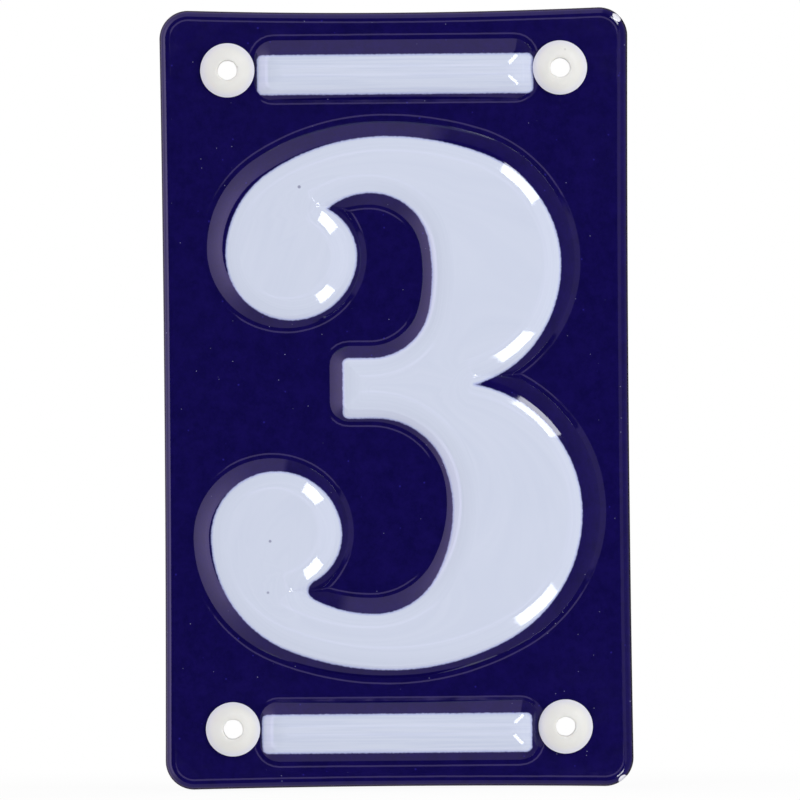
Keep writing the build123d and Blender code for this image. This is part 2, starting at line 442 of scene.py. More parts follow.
def numeral_outline(figure, grow=0.0):
    """The numeral's outline, clockwise from the upper ball, every edge moved out by grow."""
    upper_left = (figure.upper_ball[0] - figure.upper_ball_radius - grow, figure.upper_ball[1])
    lower_left = (figure.lower_ball[0] - figure.lower_ball_radius - grow, figure.lower_ball[1])
    top = (figure.top[0], figure.top[1] + grow)
    bottom = (figure.bottom[0], figure.bottom[1] - grow)
    upper_right = (figure.upper_right[0] + grow, figure.upper_right[1])
    lower_right = (figure.lower_right[0] + grow, figure.lower_right[1])

    # notch on the right, between the two bowls
    turn = figure.waist_flat_turn
    flat_centre = (figure.upper_right[0] - figure.waist_flat_radius, figure.upper_right[1])
    flat_spare = figure.waist_flat_radius - figure.upper_waist_radius
    upper_waist = (flat_centre[0] + flat_spare * cos(turn), flat_centre[1] - flat_spare * sin(turn))
    lower_waist = (figure.lower_right[0] - figure.lower_waist_radius, figure.lower_right[1])
    waist_end, waist_fan, waist_start = notch_between(
        Flank(upper_waist, figure.upper_waist_radius, 1),
        Flank(lower_waist, figure.lower_waist_radius, 1),
        1,
        grow,
    )

    # each ball is tighter on the side of its notch
    near_turn = figure.ball_near_turn
    upper_spare = figure.upper_ball_radius - figure.upper_near_radius
    lower_spare = figure.lower_ball_radius - figure.lower_near_radius
    upper_near = (
        figure.upper_ball[0] + upper_spare * cos(near_turn),
        figure.upper_ball[1] - upper_spare * sin(near_turn),
    )
    lower_near = (
        figure.lower_ball[0] + lower_spare * cos(near_turn),
        figure.lower_ball[1] + lower_spare * sin(near_turn),
    )

    # notches where each ball meets the inside of its bowl
    lower_eye_left = (figure.lower_eye_crown[0], figure.lower_eye_crown[1] + figure.lower_eye_left_radius)
    lower_ball_end, lower_fan, lower_eye_start = notch_between(
        Flank(lower_near, figure.lower_near_radius, 1),
        Flank(lower_eye_left, figure.lower_eye_left_radius, -1),
        -1,
        grow,
        figure.lower_notch_head,
    )
    upper_eye_left = (figure.upper_eye_crown[0], figure.upper_eye_crown[1] - figure.upper_eye_left_radius)
    upper_eye_end, upper_fan, upper_ball_start = notch_between(
        Flank(upper_eye_left, figure.upper_eye_left_radius, -1),
        Flank(upper_near, figure.upper_near_radius, 1),
        -1,
        grow,
    )

    # eyes and stub
    left = figure.stub_left - grow
    low = figure.stub_bottom - grow
    high = figure.stub_top + grow
    corner = max(figure.stub_corner + grow, least_corner)
    lower_eye_crown = (figure.lower_eye_crown[0], figure.lower_eye_crown[1] + grow)
    lower_eye_side = (figure.lower_eye_side[0] - grow, figure.lower_eye_side[1])
    lower_eye_roof = (figure.lower_eye_roof_x, low)
    upper_eye_crown = (figure.upper_eye_crown[0], figure.upper_eye_crown[1] - grow)
    upper_eye_side = (figure.upper_eye_side[0] - grow, figure.upper_eye_side[1])
    upper_eye_floor = (figure.upper_eye_crown[0], high)

    return [
        *quadrant(upper_left, top, figure.upper_left_flat + grow, True, 1),
        *quadrant(upper_right, top, figure.upper_right_flat + grow, False, 1),
        Arc(flat_centre, figure.waist_flat_radius + grow, 0, -turn, 1),
        Arc(upper_waist, figure.upper_waist_radius + grow, -turn, waist_end, 1),
        waist_fan,
        Arc(lower_waist, figure.lower_waist_radius + grow, waist_start, 0, 1),
        *quadrant(lower_right, bottom, figure.lower_right_flat + grow, True, 1),
        *quadrant(lower_left, bottom, figure.lower_left_flat + grow, False, 1),
        Arc(figure.lower_ball, figure.lower_ball_radius + grow, pi, near_turn, 1),
        Arc(lower_near, figure.lower_near_radius + grow, near_turn, lower_ball_end, 1),
        lower_fan,
        Arc(lower_eye_left, figure.lower_eye_left_radius - grow, lower_eye_start, -pi / 2, -1),
        *quadrant(lower_eye_side, lower_eye_crown, figure.lower_eye_flat - grow, False, -1),
        *quadrant(lower_eye_side, lower_eye_roof, figure.lower_eye_roof_flat - grow, True, -1),
        Straight(lower_eye_roof, (left + corner, low), (0, -1)),
        Arc((left + corner, low + corner), corner, -pi / 2, -pi, 1),
        Straight((left, low + corner), (left, high - corner), (-1, 0)),
        Arc((left + corner, high - corner), corner, pi, pi / 2, 1),
        Straight((left + corner, high), upper_eye_floor, (0, 1)),
        *quadrant(upper_eye_side, upper_eye_floor, figure.upper_eye_flat - grow, False, -1),
        *quadrant(upper_eye_side, upper_eye_crown, figure.upper_eye_flat - grow, True, -1),
        Arc(upper_eye_left, figure.upper_eye_left_radius - grow, pi / 2, upper_eye_end, -1),
        upper_fan,
        Arc(upper_near, figure.upper_near_radius + grow, upper_ball_start, -near_turn, 1),
        Arc(figure.upper_ball, figure.upper_ball_radius + grow, -near_turn, -pi, 1),
    ]


def bar_outline(bar, grow=0.0):
    """A bar's rounded oblong, clockwise from its upper left corner, every edge moved out by grow.
    Moved inwards it keeps its corners as long as they fit."""
    x, z = bar.centre
    corner = bar.corner + grow if grow > 0 else min(bar.corner, bar.half_height + grow - least_flat)
    reach_x = bar.half_length + grow - corner
    reach_z = bar.half_height + grow - corner
    spots = [(x + right * reach_x, z + up * reach_z) for right, up in ((-1, 1), (1, 1), (1, -1), (-1, -1))]
    outline = []
    for side, spot in enumerate(spots):
        start = pi - side * pi / 2
        normal = (cos(start - pi / 2), sin(start - pi / 2))
        after = spots[(side + 1) % 4]
        outline.append(Arc(spot, corner, start, start - pi / 2, 1))
        outline.append(
            Straight(
                (spot[0] + corner * normal[0], spot[1] + corner * normal[1]),
                (after[0] + corner * normal[0], after[1] + corner * normal[1]),
                normal,
            )
        )
    return outline


def steps_along(outline, step):
    """How many points each arc and straight of an outline gets, for a given spacing."""
    steps = []
    for stroke in outline:
        if isinstance(stroke, Arc):
            length = max(stroke.radius, least_arc_radius) * abs(stroke.end - stroke.start)
        else:
            length = hypot(stroke.end[0] - stroke.start[0], stroke.end[1] - stroke.start[1])
        steps.append(max(least_points, round(length / step)))
    return steps


def sample(outline, steps):
    """Points along an outline and the directions that look out of the figure there."""
    points = []
    normals = []
    for stroke, count in zip(outline, steps):
        share = np.arange(count)[:, None] / count
        if isinstance(stroke, Arc):
            angle = stroke.start + (stroke.end - stroke.start) * share
            ray = np.hstack([np.cos(angle), np.sin(angle)])
            points.append(np.array(stroke.centre) + stroke.radius * ray)
            ease = 1 - (1 - abs(stroke.bulge)) * np.minimum(1, notch_sharpness * np.sin(pi * share))
            normals.append(np.sign(stroke.bulge) * ease * ray)
        else:
            start = np.array(stroke.start)
            points.append(start + (np.array(stroke.end) - start) * share)
            normals.append(np.repeat([stroke.normal], count, axis=0))
    return np.vstack(points), np.vstack(normals)


class Skin:
    """A mesh grown ring by ring, in millimetres, with the normal of the true surface at each point
    and three marks: how far round the rim it lies, whether it is on the back, and how far it lies
    inside the white."""

    def __init__(self):
        self.points = []
        self.normals = []
        self.rim = []
        self.back = []
        self.white_reach = []
        self.faces = []

    def ring(self, flat_points, flat_normals, depth, tilt, rim=0.0, back=0.0):
        """A row of points at one depth in front of the wall, its normals tilted from the front."""
        first = len(self.points)
        for (x, z), (nx, nz) in zip(flat_points, flat_normals):
            self.points.append((x, -depth, z))
            self.normals.append((nx * sin(tilt), -cos(tilt), nz * sin(tilt)))
            self.rim.append(rim)
            self.back.append(back)
        return list(range(first, len(self.points)))

    def band(self, rings):
        """Faces between each closed ring and the next."""
        for near, far in zip(rings, rings[1:]):
            for i in range(len(near)):
                j = (i + 1) % len(near)
                self.faces.append((near[i], near[j], far[j], far[i]))

    def flat(self, loops):
        """Faces over the flat stretch inside the first loop and outside the others."""
        corners = []
        owners = []
        rounds = []
        for loop in loops:
            kept = []
            for index in loop:
                spot = Vector((self.points[index][0], self.points[index][2]))
                if not kept or (spot - corners[kept[-1]]).length > same_spot:
                    kept.append(len(corners))
                    corners.append(spot)
                    owners.append(index)
            swept = sum(corners[i].cross(corners[j]) for i, j in zip(kept, kept[1:] + kept[:1]))
            rounds.append(kept if swept > 0 else kept[::-1])
        inside = 1
        _, _, triangles, sources, _, within = delaunay_2d_cdt(corners, [], rounds, inside, fill_tolerance)
        for triangle, loops_round_it in zip(triangles, within):
            if loops_round_it == [0]:
                self.faces.append(tuple(owners[sources[corner][0]] for corner in triangle))

    def mesh(self, name):
        """The closed mesh in metres, its doubles merged and every face turned outwards."""
        points = np.array(self.points)
        normals = np.array(self.normals)
        spots, first, merged = np.unique(
            np.round(points, merge_decimals), axis=0, return_index=True, return_inverse=True
        )
        merged = merged.ravel()
        summed = np.zeros_like(spots)
        np.add.at(summed, merged, normals)
        summed /= np.linalg.norm(summed, axis=1)[:, None]
        faces = []
        for face in self.faces:
            corners = list(dict.fromkeys(int(merged[index]) for index in face))
            if len(corners) < 3:
                continue
            across = np.cross(spots[corners[1]] - spots[corners[0]], spots[corners[-1]] - spots[corners[0]])
            if across @ summed[corners].sum(axis=0) < 0:
                corners.reverse()
            faces.append(corners)
        mesh = bpy.data.meshes.new(name)
        mesh.from_pydata((spots * MM).tolist(), [], faces)
        for label, values in (("rim", self.rim), ("back", self.back), ("white_reach", self.white_reach)):
            layer = mesh.attributes.new(label, "FLOAT", "POINT")
            layer.data.foreach_set("value", np.array(values, np.float32)[first])
        mesh.shade_smooth()
        mesh.normals_split_custom_set_from_vertices(summed.tolist())
        return mesh


def relief_profile(relief, fineness):
    """A raised wall from its crowned top to its foot: spread of the outline past the crown's end,
    height above the ground and tilt."""
    crown_fall = relief.crown_radius * (1 - cos(crown_tilt))
    shoulder_fall = shoulder_radius * (cos(crown_tilt) - cos(shoulder_tilt))
    crease_fall = crease_radius * (cos(roll_tilt) - cos(wall_tilt))
    roll_fall = roll_radius * (1 - cos(roll_tilt))
    apron_fall = relief.apron * sin(roll_tilt)
    wall_fall = relief.height - crown_fall - shoulder_fall - crease_fall - apron_fall - roll_fall
    wall_radius = wall_fall / (cos(shoulder_tilt) - cos(wall_tilt))
    # straight run before each round, radius, tilt from and to, steps
    rounds = (
        (0.0, relief.crown_radius, 0.0, crown_tilt, 5),
        (0.0, shoulder_radius, crown_tilt, shoulder_tilt, 2),
        (0.0, wall_radius, shoulder_tilt, wall_tilt, 4),
        (0.0, -crease_radius, wall_tilt, roll_tilt, 2),
        (relief.apron, -roll_radius, roll_tilt, 0.0, 4),
    )
    spread = -relief.crown_radius * sin(crown_tilt)
    height = relief.height
    profile = []
    for straight, radius, start, end, steps in rounds:
        spread += straight * cos(start)
        height -= straight * sin(start)
        for tilt in np.linspace(start, end, round(steps * fineness) + 1):
            profile.append(
                (
                    spread + radius * (sin(tilt) - sin(start)),
                    height - radius * (cos(start) - cos(tilt)),
                    tilt,
                )
            )
        spread, height = profile[-1][:2]
    return profile


def raise_relief(skin, outline_of, figure, relief):
    """The rings of one pressed figure on the front and, one sheet behind, on the back. Returns the
    outermost ring on either side."""
    steps = steps_along(outline_of(figure), relief.step)
    outer = []
    for back, fineness in ((0, front_fineness), (1, back_fineness)):
        rings = []
        for spread, height, tilt in relief_profile(relief, fineness):
            grow = spread - back * sheet * sin(tilt)
            depth = rim_depth + height - back * sheet * cos(tilt)
            points, normals = sample(outline_of(figure, grow), steps)
            if back:
                normals = -normals
            rings.append(skin.ring(points, normals, depth, tilt + back * pi, back=back))
        skin.band(rings)
        skin.flat([rings[0]])
        outer.append(rings[-1])
    return outer


def plate_edge(inset):
    """The plate's outline with its shallow inward-bowed edges, moved in by inset."""
    corner = corner_radius - inset
    corner_dx = side_bow * (1 - ((half_height - corner_radius) / half_height) ** 2)
    corner_dz = end_bow * (1 - ((half_width - corner_radius) / half_width) ** 2)
    reach_x = half_width - corner_radius - corner_dx
    reach_z = half_height - corner_radius - corner_dz
    points = []
    normals = []
    for side in range(4):
        level = side % 2 == 0
        sign = 1 if side < 2 else -1
        end = reach_x if level else reach_z
        level_bow = end_bow if sign > 0 else bottom_bow
        sag = (level_bow - corner_dz) if level else (side_bow - corner_dx)
        reach = (reach_z if level else reach_x) + corner
        along = np.linspace(-1, 1, edge_points, endpoint=False)
        out = reach - sag * (1 - along**2)
        lean = 2 * sag * along / end
        if level:
            points.append(np.column_stack([sign * along * end, sign * out]))
            normals.append(np.column_stack([-sign * lean, np.full(edge_points, sign)]))
        else:
            points.append(np.column_stack([sign * out, -sign * along * end]))
            normals.append(np.column_stack([np.full(edge_points, sign), sign * lean]))
        angle = pi / 2 - side * pi / 2 - np.arange(corner_points) / corner_points * pi / 2
        ray = np.column_stack([np.cos(angle), np.sin(angle)])
        centre_x = reach_x if side in (0, 1) else -reach_x
        centre_z = reach_z if side in (0, 3) else -reach_z
        points.append(np.array([centre_x, centre_z]) + corner * ray)
        normals.append(ray)
    return np.vstack(points), np.vstack(normals)


def turn_rim(skin):
    """The rim from the ground face over the roll and round its bend, down to the wall, round the cut
    edge and back up behind. Returns the inner ring on the front and on the back."""
    draft_cos = sin(rim_tilt)
    draft_sin = cos(rim_tilt)
    bend_depth = rim_depth - roll_radius * (1 - cos(roll_tilt)) - rim_bend * cos(roll_tilt)
    bend_inset = rim_bend * draft_cos + (bend_depth + rim_bend * draft_sin) * draft_sin / draft_cos
    roll_inset = bend_inset + (roll_radius - rim_bend) * sin(roll_tilt)
    roll_depth = rim_depth - roll_radius
    lip_front = rim_lip * (1 + draft_sin) / draft_cos
    lip_back = (sheet - rim_lip + rim_lip * draft_sin) / draft_cos

    # inset and depth of each round's centre, radius, tilt from and to, rim mark from and to, stations,
    # half turn where the round is seen from inside, back mark
    rounds = (
        (roll_inset, roll_depth, roll_radius, 0, roll_tilt, 0, 0, 5, 0, 0),
        (bend_inset, bend_depth, rim_bend, roll_tilt, rim_tilt, 0, bend_mark, 10, 0, 0),
        (lip_front, rim_lip, rim_lip, rim_tilt, pi, lip_mark, 1, 5, 0, 0),
        (lip_back, rim_lip, rim_lip, pi, pi + rim_tilt, 1, lip_mark, 4, 0, 1),
        (bend_inset, bend_depth, rim_bend - sheet, rim_tilt, roll_tilt, bend_mark, 0, 6, pi, 1),
        (roll_inset, roll_depth, roll_radius - sheet, roll_tilt, 0, 0, 0, 3, pi, 1),
    )
    rings = []
    for inset, depth, radius, first_tilt, last_tilt, first_mark, last_mark, count, half_turn, back in rounds:
        tilts = np.linspace(first_tilt, last_tilt, count)
        marks = np.linspace(first_mark, last_mark, count)
        for tilt, rim_mark in zip(tilts, marks):
            points, normals = plate_edge(inset - radius * sin(tilt))
            level = depth + radius * cos(tilt)
            rings.append(skin.ring(points, normals, level, tilt + half_turn, rim=rim_mark, back=back))
    skin.band(rings)
    return rings[0], rings[-1]


def pierce_hole(skin, centre):
    """A screw hole's wall with its rounded edges. Returns its ring on the front and on the back."""
    angle = np.linspace(0, 2 * pi, hole_points, endpoint=False)
    ray = np.column_stack([np.cos(angle), np.sin(angle)])
    front_depth = rim_depth - hole_edge
    back_depth = rim_depth - sheet + hole_edge
    rings = []
    for depth, first_tilt, back in ((front_depth, 0, 0), (back_depth, pi / 2, 1)):
        for tilt in np.linspace(first_tilt, first_tilt + pi / 2, 4):
            radius = hole_radius + hole_edge * (1 - sin(tilt))
            level = depth + hole_edge * cos(tilt)
            rings.append(skin.ring(np.array(centre) + radius * ray, -ray, level, tilt, back=back))
    skin.band(rings)
    return rings[0], rings[-1]


def bar_reach(points, bar):
    """How far each point lies inside a white bar, negative outside it."""
    straight = np.array([bar.half_length, bar.half_height]) - bar.corner
    past = np.abs(points - np.array(bar.centre)) - straight
    outside = np.linalg.norm(np.maximum(past, 0), axis=1)
    inside = np.minimum(past.max(axis=1), 0)
    return bar.corner - outside - inside


def numeral_reach(points, figure):
    """How far each point lies inside the white numeral, negative outside it."""
    outline = numeral_outline(figure)
    spots, normals = sample(outline, steps_along(outline, reach_step))
    tree = KDTree(len(spots))
    for index, spot in enumerate(spots):
        tree.insert((spot[0], spot[1], 0), index)
    tree.balance()
    nearest = [tree.find((x, z, 0))[1] for x, z in points]
    apart = points - spots[nearest]
    distance = np.linalg.norm(apart, axis=1)
    across = np.abs(np.einsum("ij,ij->i", apart, normals[nearest]))
    inside = np.zeros(len(points), bool)
    corners, _ = sample(outline, steps_along(outline, inside_step))
    for (x0, z0), (x1, z1) in zip(corners, np.roll(corners, -1, axis=0)):
        if z0 != z1:
            level = (points[:, 1] > min(z0, z1)) & (points[:, 1] <= max(z0, z1))
            inside ^= level & (points[:, 0] < x0 + (points[:, 1] - z0) * (x1 - x0) / (z1 - z0))
    return np.where(inside, 1, -1) * np.where(distance > near_outline, distance, across)


def press_plate():
    """The whole plate: rim, ground face, numeral, bars and screw holes, front and back."""
    skin = Skin()
    edges = [turn_rim(skin), raise_relief(skin, numeral_outline, pressed_numeral, numeral_relief)]
    edges += [raise_relief(skin, bar_outline, bar, bar_relief) for bar in pressed_bars]
    edges += [pierce_hole(skin, centre) for centre in screws.values()]
    front_loops, back_loops = zip(*edges)
    skin.flat(front_loops)
    skin.flat(back_loops)
    across = np.array(skin.points)[:, [0, 2]]
    reaches = [numeral_reach(across, white_numeral)]
    reaches += [bar_reach(across, bar) for bar in white_bars]
    reach = np.clip(np.maximum.reduce(reaches), -reach_limit, reach_limit)
    skin.white_reach = np.where(np.array(skin.back) > 0, -reach_limit, reach)
    return skin.mesh("enamelled_plate")


def node(tree, kind, *ordered, settings=None, **named):
    """Adds a node; inputs are given in order or by name, as values or as sockets to link from."""
    made = tree.nodes.new(kind)
    for key, value in (settings or {}).items():
        setattr(made, key, value)
    wanted = [(made.inputs[i], value) for i, value in enumerate(ordered) if value is not None]
    wanted += [(made.inputs[name.replace("_", " ")], value) for name, value in named.items()]
    for socket, value in wanted:
        if isinstance(value, bpy.types.NodeSocket):
            tree.links.new(value, socket)
        else:
            socket.default_value = value
    return made


def maths(tree, operation, *ordered, clamp=False):
    made = node(tree, "ShaderNodeMath", *ordered, settings={"operation": operation, "use_clamp": clamp})
    return made.outputs[0]


def vector_maths(tree, operation, *ordered, **named):
    made = node(tree, "ShaderNodeVectorMath", *ordered, settings={"operation": operation}, **named)
    return made.outputs["Value" if operation in ("LENGTH", "DOT_PRODUCT") else "Vector"]


def mark(tree, name):
    """A mark that the points of the mesh carry."""
    return node(tree, "ShaderNodeAttribute", settings={"attribute_name": name}).outputs["Fac"]


def fade(tree, value, low, high):
    """0 below low, 1 above high and smooth between."""
    smooth = {"interpolation_type": "SMOOTHSTEP"}
    return node(tree, "ShaderNodeMapRange", value, low, high, 0.0, 1.0, settings=smooth).outputs[0]


def blend(tree, share, first, second):
    """Goes from the first colour to the second."""
    made = tree.nodes.new("ShaderNodeMix")
    made.data_type = "RGBA"
    for socket, value in ((made.inputs["Factor"], share), (made.inputs[6], first), (made.inputs[7], second)):
        if isinstance(value, bpy.types.NodeSocket):
            tree.links.new(value, socket)
        else:
            socket.default_value = value
    return made.outputs[2]


def noise(tree, place, scale, detail=3.0, roughness=0.5):
    made = node(tree, "ShaderNodeTexNoise", Vector=place, Scale=scale, Detail=detail, Roughness=roughness)
    return made.outputs["Fac"]


def colour(shade):
    """A colour given on the 0 to 255 screen scale, as the shader wants it."""
    levels = [level / 255 for level in shade]
    linear = [level / 12.92 if level <= 0.04045 else ((level + 0.055) / 1.055) ** 2.4 for level in levels]
    return (*linear, 1.0)


def new_group(name, inputs, outputs):
    """An empty shader group with its named sockets, its input node and its output node."""
    tree = bpy.data.node_groups.new(name, "ShaderNodeTree")
    for label, kind, value in inputs:
        socket = tree.interface.new_socket(label, in_out="INPUT", socket_type=kind)
        if value is not None:
            socket.default_value = value
    for label, kind in outputs:
        tree.interface.new_socket(label, in_out="OUTPUT", socket_type=kind)
    return tree, tree.nodes.new("NodeGroupInput"), tree.nodes.new("NodeGroupOutput")


def speck_group():
    """Scattered specks of dust or pits: a mask of small spots of uneven size, one in a share of the
    cells, with so many cells to the metre."""
    tree, given, put = new_group(
        "scattered_specks",
        [
            ("Place", "NodeSocketVector", None),
            ("Cells", "NodeSocketFloat", 300.0),
            ("Size", "NodeSocketFloat", 0.2),
            ("Share", "NodeSocketFloat", 0.3),
        ],
        [("Mask", "NodeSocketFloat")],
    )
    cells = node(tree, "ShaderNodeTexVoronoi", Vector=given.outputs["Place"], Scale=given.outputs["Cells"])
    draw = node(tree, "ShaderNodeSeparateColor", cells.outputs["Color"])
    chosen = maths(tree, "LESS_THAN", draw.outputs["Red"], given.outputs["Share"])
    size = maths(tree, "MULTIPLY", draw.outputs["Green"], given.outputs["Size"])
    edge = maths(tree, "MULTIPLY", size, 0.5)
    spot = node(
        tree, "ShaderNodeMapRange", cells.outputs["Distance"], edge, size, 1.0, 0.0,
        settings={"interpolation_type": "SMOOTHSTEP"},
    )
    tree.links.new(maths(tree, "MULTIPLY", spot.outputs[0], chosen), put.inputs["Mask"])
    return tree


def specks(tree, group, place, cells, size, share):
    made = node(tree, "ShaderNodeGroup", settings={"node_tree": group})
    tree.links.new(place, made.inputs["Place"])
    made.inputs["Cells"].default_value = cells
    made.inputs["Size"].default_value = size
    made.inputs["Share"].default_value = share
    return made.outputs["Mask"]


def new_material(name):
    material = bpy.data.materials.new(name)
    material.use_nodes = True
    tree = material.node_tree
    return material, tree, tree.nodes["Principled BSDF"]


def glare_mask(tree, place, ragged, centre, along):
    """A ragged oval painted highlight, longer along the edge than across it."""
    spot = (centre[0] * MM, 0.0, centre[1] * MM)
    apart = vector_maths(tree, "SUBTRACT", place, spot)
    squares = []
    for direction, reach in (((along[0], 0, along[1]), glare_length), ((-along[1], 0, along[0]), glare_width)):
        ray = tuple(part / (reach / 2 * MM) for part in direction)
        span = vector_maths(tree, "DOT_PRODUCT", apart, ray)
        squares.append(maths(tree, "POWER", maths(tree, "ABSOLUTE", span), 2.0))
    away = maths(tree, "ADD", *squares)
    left = maths(tree, "MULTIPLY_ADD", ragged, -glare_raggedness, maths(tree, "SUBTRACT", glare_reach, away))
    return fade(tree, left, *glare_edge)


def enamel_material(speck_tree):
    """Glossy dark blue enamel under a white stencilled coat, burnt thin along the cut edge, with a
    rough ground coat on the back."""
    material, tree, shader = new_material("vitreous_enamel")
    place = node(tree, "ShaderNodeTexCoord").outputs["Object"]
    reach = mark(tree, "white_reach")
    rim = mark(tree, "rim")
    back = mark(tree, "back")

    # blue coat: mottled, with brighter blue dots and pale dust; depth counts for little in their cells,
    # so that the flat face cuts more of them through the middle
    mottle = fade(tree, noise(tree, place, scale=260.0, detail=6.0, roughness=0.85), 0.3, 0.7)
    blue = blend(tree, mottle, colour(blue_deep), colour(blue_light))
    squeezed = vector_maths(tree, "MULTIPLY", place, (1.0, 0.2, 1.0))
    dots = specks(tree, speck_tree, squeezed, cells=420.0, size=0.16, share=0.32)
    blue = blend(tree, maths(tree, "MULTIPLY", dots, 0.6), blue, colour(blue_dot))
    dust = specks(tree, speck_tree, squeezed, cells=700.0, size=0.17, share=0.2)
    blue = blend(tree, maths(tree, "MULTIPLY", dust, 0.65), blue, colour(pale_dust))

    # white coat: streaks that follow its edge, level brush marks on the bars and small dark flecks
    streak_place = node(tree, "ShaderNodeCombineXYZ", maths(tree, "MULTIPLY", reach, 2.2)).outputs[0]
    wander = vector_maths(tree, "MULTIPLY", place, (40.0, 40.0, 40.0))
    streak_place = vector_maths(tree, "ADD", streak_place, wander)
    streaks = noise(tree, streak_place, scale=1.6)
    white = blend(tree, streaks, colour(white_low), colour(white_high))
    brush_place = vector_maths(tree, "MULTIPLY", place, (60.0, 60.0, 2600.0))
    brush = fade(tree, noise(tree, brush_place, scale=1.0, detail=2.0), 0.35, 0.7)
    above = node(tree, "ShaderNodeSeparateXYZ", place).outputs["Z"]
    on_bar = fade(tree, maths(tree, "ABSOLUTE", above), brushed_from * MM, brushed_full * MM)
    brush = maths(tree, "MULTIPLY", maths(tree, "MULTIPLY", brush, on_bar), 0.55)
    white = blend(tree, brush, white, colour(white_brushed))
    flecks = specks(tree, speck_tree, place, cells=160.0, size=0.07, share=0.12)
    white = blend(tree, maths(tree, "MULTIPLY", flecks, 0.55), white, colour(dark_fleck))

    # the white's edge: slightly ragged, thinning to pale blue
    ragged = noise(tree, place, scale=1500.0, detail=2.0)
    ragged = maths(tree, "MULTIPLY_ADD", ragged, white_raggedness, -white_raggedness / 2)
    edge = maths(tree, "ADD", reach, ragged)
    covered = fade(tree, edge, *white_cover)
    thick = fade(tree, edge, *white_thickening)
    white = blend(tree, thick, colour(white_thin), white)
    face = blend(tree, covered, blue, white)

    # cut edge: burnt dark and rough, in patches
    patches = noise(tree, place, scale=700.0, detail=4.0, roughness=0.6)
    burnt = fade(tree, maths(tree, "MULTIPLY_ADD", patches, 0.5, rim), 0.66, 0.8)
    face = blend(tree, burnt, face, colour(burnt_edge))

    # painted highlights at two right-hand corners of the rim: pale ragged patches
    for centre, along in rim_glares:
        face = blend(tree, glare_mask(tree, place, patches, centre, along), face, colour(painted_glare))

    # ground coat behind: blue-black with grey speckle
    speckle = fade(tree, noise(tree, place, scale=900.0, detail=2.0), 0.52, 0.7)
    ground_coat = blend(tree, speckle, colour(ground_coat_dark), colour(ground_coat_pale))
    tree.links.new(blend(tree, back, face, ground_coat), shader.inputs["Base Color"])

    # gloss, dulled by handling, dust, the burnt edge and the ground coat
    film = noise(tree, place, scale=60.0, detail=4.0, roughness=0.6)
    rough = maths(tree, "MULTIPLY_ADD", film, 0.05, 0.02)
    rough = maths(tree, "MULTIPLY_ADD", dust, 0.25, rough)
    rough = maths(tree, "MULTIPLY_ADD", burnt, 0.45, rough)
    rough = maths(tree, "MULTIPLY_ADD", back, 0.3, rough, clamp=True)
    tree.links.new(rough, shader.inputs["Roughness"])

    # skin: slow waves of the fired coat, the white's own thickness, pits and the rough cut edge
    waves = maths(tree, "MULTIPLY", noise(tree, place, scale=140.0, detail=2.0), 0.5)
    height = maths(tree, "MULTIPLY_ADD", covered, 0.05, waves)
    height = maths(tree, "MULTIPLY_ADD", flecks, -0.1, height)
    height = maths(tree, "MULTIPLY_ADD", maths(tree, "MULTIPLY", burnt, patches), 0.6, height)
    bump = node(tree, "ShaderNodeBump", Strength=0.25, Distance=enamel_unevenness * MM, Height=height)
    tree.links.new(bump.outputs[0], shader.inputs["Normal"])
    shader.inputs["IOR"].default_value = enamel_index
    return material


def nylon_material(speck_tree):
    """Satin off-white nylon, faintly cloudy, with a painted lavender sheen at the head's edge and a little
    grime.
    """
    material, tree, shader = new_material("bush_nylon")
    place = node(tree, "ShaderNodeTexCoord").outputs["Object"]
    cloud = noise(tree, place, scale=260.0)
    face = blend(tree, cloud, colour(nylon_low), colour(nylon_high))
    # painted sheen: the head's edge turns pale lavender, as a reflection of the blue enamel would make it
    face = blend(tree, mark(tree, "head_sheen"), face, colour(nylon_sheen))
    grime = specks(tree, speck_tree, place, cells=700.0, size=0.2, share=0.08)
    face = blend(tree, maths(tree, "MULTIPLY", grime, 0.3), face, colour(nylon_grime))
    tree.links.new(face, shader.inputs["Base Color"])
    rough = maths(tree, "MULTIPLY_ADD", cloud, 0.2, 0.34)
    tree.links.new(rough, shader.inputs["Roughness"])
    grain = noise(tree, place, scale=2600.0, detail=2.0)
    bump = node(tree, "ShaderNodeBump", Strength=0.12, Distance=nylon_unevenness * MM, Height=grain)
    tree.links.new(bump.outputs[0], shader.inputs["Normal"])
    shader.inputs["IOR"].default_value = nylon_index
    shader.inputs["Subsurface Weight"].default_value = 0.15
    shader.inputs["Subsurface Radius"].default_value = [depth * MM for depth in nylon_light_depth]
    shader.inputs["Subsurface Scale"].default_value = 1.0
    return material


